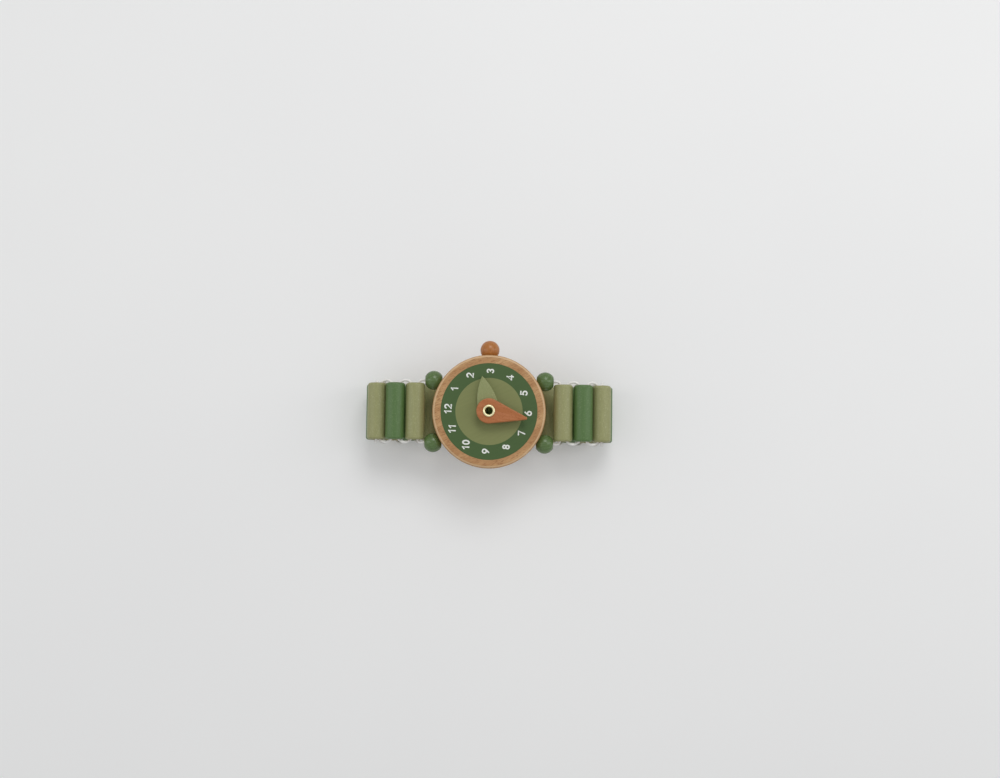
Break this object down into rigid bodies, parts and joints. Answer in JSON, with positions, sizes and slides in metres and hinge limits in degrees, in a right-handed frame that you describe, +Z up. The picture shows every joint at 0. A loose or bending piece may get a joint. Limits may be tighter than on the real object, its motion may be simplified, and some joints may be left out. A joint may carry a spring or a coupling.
{
  "type": "toy watch",
  "caption": "Wooden toy watch with a round case, a numbered dial, two hands that turn freely, a ball crown and an elastic bracelet of painted rods.",
  "frame": {"origin": "on the table, under the axis of the hands", "axes": "+X along the bracelet towards six o'clock, +Y towards the crown at three o'clock, +Z up out of the dial"},
  "size_m": [0.0894, 0.0454, 0.0279],
  "materials": {
    "beech": "oiled",
    "printed_dial": "satin print",
    "sage_paint": "satin paint",
    "green_paint": "satin paint",
    "orange_paint": "satin paint",
    "brass": "polished",
    "elastic": "braided"
  },
  "bodies": {
    "link_10": {"strap_rod_10": "green_paint", "elastic_10": "elastic"},
    "link_09": {"strap_rod_09": "sage_paint", "elastic_09": "elastic"},
    "link_08": {"strap_rod_08": "green_paint", "elastic_08": "elastic"},
    "link_07": {"strap_rod_07": "sage_paint", "elastic_07": "elastic"},
    "link_06": {"strap_rod_06": "green_paint", "elastic_06": "elastic"},
    "link_05": {"strap_rod_05": "sage_paint", "elastic_05": "elastic"},
    "link_04": {"strap_rod_04": "green_paint", "elastic_04": "elastic"},
    "link_03": {"strap_rod_03": "sage_paint", "elastic_03": "elastic"},
    "link_02": {"strap_rod_02": "green_paint", "elastic_02": "elastic"},
    "link_01": {"strap_rod_01": "sage_paint", "elastic_01": "elastic"},
    "case": {"watch_case": "beech", "dial_face": "printed_dial", "hand_eyelet": "brass", "back_washer": "brass", "crown_ball": "orange_paint", "crown_peg": "beech", "elastic_case": "elastic"},
    "link_11": {"strap_rod_11": "sage_paint", "elastic_11": "elastic"},
    "link_12": {"strap_rod_12": "green_paint", "elastic_12": "elastic"},
    "link_13": {"strap_rod_13": "sage_paint", "elastic_13": "elastic"},
    "link_14": {"strap_rod_14": "green_paint", "elastic_14": "elastic"},
    "link_15": {"strap_rod_15": "sage_paint", "elastic_15": "elastic"},
    "link_16": {"strap_rod_16": "green_paint", "elastic_16": "elastic"},
    "link_17": {"strap_rod_17": "sage_paint", "elastic_17": "elastic"},
    "link_18": {"strap_rod_18": "green_paint", "elastic_18": "elastic"},
    "link_19": {"strap_rod_19": "sage_paint", "elastic_19": "elastic"},
    "hour_hand": {"hour_hand": "sage_paint"},
    "minute_hand": {"minute_hand": "orange_paint"},
    "lug_bead_1": {"lug_bead_1": "green_paint"},
    "lug_bead_2": {"lug_bead_2": "green_paint"},
    "lug_bead_3": {"lug_bead_3": "green_paint"},
    "lug_bead_4": {"lug_bead_4": "green_paint"}
  },
  "joints": [
    {"name": "bend_09", "type": "hinge", "parent": "link_10", "child": "link_09", "pos_m": [0, 0, 0.0034], "axis": [0, 1, 0], "range_deg": [-0.3, 3.19]},
    {"name": "bend_08", "type": "hinge", "parent": "link_09", "child": "link_08", "pos_m": [-0.00715, 0, 0.0034], "axis": [0, 1, 0], "range_deg": [-0.3, 6.19]},
    {"name": "bend_07", "type": "hinge", "parent": "link_08", "child": "link_07", "pos_m": [-0.0143, 0, 0.0034], "axis": [0, 1, 0], "range_deg": [-0.3, 6.52]},
    {"name": "bend_06", "type": "hinge", "parent": "link_07", "child": "link_06", "pos_m": [-0.02145, 0, 0.0034], "axis": [0, 1, 0], "range_deg": [-0.3, 7.23]},
    {"name": "bend_05", "type": "hinge", "parent": "link_06", "child": "link_05", "pos_m": [-0.0286, 0, 0.0034], "axis": [0, 1, 0], "range_deg": [-0.3, 43.8]},
    {"name": "bend_04", "type": "hinge", "parent": "link_05", "child": "link_04", "pos_m": [-0.03575, 0, 0.0034], "axis": [0, 1, 0], "range_deg": [-17.33, 0.3]},
    {"name": "bend_03", "type": "hinge", "parent": "link_04", "child": "link_03", "pos_m": [-0.04129, 0, 0.00792], "axis": [0, 1, 0], "range_deg": [-60.48, 0.3]},
    {"name": "bend_02", "type": "hinge", "parent": "link_03", "child": "link_02", "pos_m": [-0.04014, 0, 0.01498], "axis": [0, 1, 0], "range_deg": [-42.32, 0.3]},
    {"name": "bend_01", "type": "hinge", "parent": "link_02", "child": "link_01", "pos_m": [-0.03345, 0, 0.01751], "axis": [0, 1, 0], "range_deg": [-10.58, 0.3]},
    {"name": "bracelet_open", "type": "hinge", "parent": "link_01", "child": "case", "pos_m": [-0.0263, 0, 0.01751], "axis": [0, 1, 0], "range_deg": [0, 64.09]},
    {"name": "bend_11", "type": "hinge", "parent": "link_10", "child": "link_11", "pos_m": [0, 0, 0.0034], "axis": [0, 1, 0], "range_deg": [-3.19, 0.3]},
    {"name": "bend_12", "type": "hinge", "parent": "link_11", "child": "link_12", "pos_m": [0.00715, 0, 0.0034], "axis": [0, 1, 0], "range_deg": [-6.19, 0.3]},
    {"name": "bend_13", "type": "hinge", "parent": "link_12", "child": "link_13", "pos_m": [0.0143, 0, 0.0034], "axis": [0, 1, 0], "range_deg": [-6.52, 0.3]},
    {"name": "bend_14", "type": "hinge", "parent": "link_13", "child": "link_14", "pos_m": [0.02145, 0, 0.0034], "axis": [0, 1, 0], "range_deg": [-7.23, 0.3]},
    {"name": "bend_15", "type": "hinge", "parent": "link_14", "child": "link_15", "pos_m": [0.0286, 0, 0.0034], "axis": [0, 1, 0], "range_deg": [-43.8, 0.3]},
    {"name": "bend_16", "type": "hinge", "parent": "link_15", "child": "link_16", "pos_m": [0.03575, 0, 0.0034], "axis": [0, 1, 0], "range_deg": [-0.3, 17.33]},
    {"name": "bend_17", "type": "hinge", "parent": "link_16", "child": "link_17", "pos_m": [0.04129, 0, 0.00792], "axis": [0, 1, 0], "range_deg": [-0.3, 60.48]},
    {"name": "bend_18", "type": "hinge", "parent": "link_17", "child": "link_18", "pos_m": [0.04014, 0, 0.01498], "axis": [0, 1, 0], "range_deg": [-0.3, 42.32]},
    {"name": "bend_19", "type": "hinge", "parent": "link_18", "child": "link_19", "pos_m": [0.03345, 0, 0.01751], "axis": [0, 1, 0], "range_deg": [-0.3, 10.58]},
    {"name": "hour_hand_turn", "type": "hinge", "parent": "case", "child": "hour_hand", "pos_m": [0, 0, 0.02301], "axis": [0, 0, 1], "continuous": true},
    {"name": "minute_hand_turn", "type": "hinge", "parent": "case", "child": "minute_hand", "pos_m": [0, 0, 0.02301], "axis": [0, 0, 1], "continuous": true},
    {"name": "lug_bead_1_spin", "type": "hinge", "parent": "case", "child": "lug_bead_1", "pos_m": [-0.0198, 0.0111, 0.01751], "axis": [1, 0, 0], "continuous": true},
    {"name": "lug_bead_2_spin", "type": "hinge", "parent": "case", "child": "lug_bead_2", "pos_m": [0.0198, 0.0111, 0.01751], "axis": [1, 0, 0], "continuous": true},
    {"name": "lug_bead_3_spin", "type": "hinge", "parent": "case", "child": "lug_bead_3", "pos_m": [-0.0198, -0.0111, 0.01751], "axis": [1, 0, 0], "continuous": true},
    {"name": "lug_bead_4_spin", "type": "hinge", "parent": "case", "child": "lug_bead_4", "pos_m": [0.0198, -0.0111, 0.01751], "axis": [1, 0, 0], "continuous": true}
  ],
  "couplings": [
    {"joint": "bend_09", "follows": "bracelet_open", "ratio": 0.045144},
    {"joint": "bend_08", "follows": "bracelet_open", "ratio": 0.091848},
    {"joint": "bend_07", "follows": "bracelet_open", "ratio": 0.09701},
    {"joint": "bend_06", "follows": "bracelet_open", "ratio": 0.10814},
    {"joint": "bend_05", "follows": "bracelet_open", "ratio": 0.67874},
    {"joint": "bend_04", "follows": "bracelet_open", "ratio": -0.26569},
    {"joint": "bend_03", "follows": "bracelet_open", "ratio": -0.93907},
    {"joint": "bend_02", "follows": "bracelet_open", "ratio": -0.65567},
    {"joint": "bend_01", "follows": "bracelet_open", "ratio": -0.16046},
    {"joint": "bend_11", "follows": "bracelet_open", "ratio": -0.045144},
    {"joint": "bend_12", "follows": "bracelet_open", "ratio": -0.091848},
    {"joint": "bend_13", "follows": "bracelet_open", "ratio": -0.09701},
    {"joint": "bend_14", "follows": "bracelet_open", "ratio": -0.10814},
    {"joint": "bend_15", "follows": "bracelet_open", "ratio": -0.67874},
    {"joint": "bend_16", "follows": "bracelet_open", "ratio": 0.26569},
    {"joint": "bend_17", "follows": "bracelet_open", "ratio": 0.93907},
    {"joint": "bend_18", "follows": "bracelet_open", "ratio": 0.65567},
    {"joint": "bend_19", "follows": "bracelet_open", "ratio": 0.16046}
  ]
}
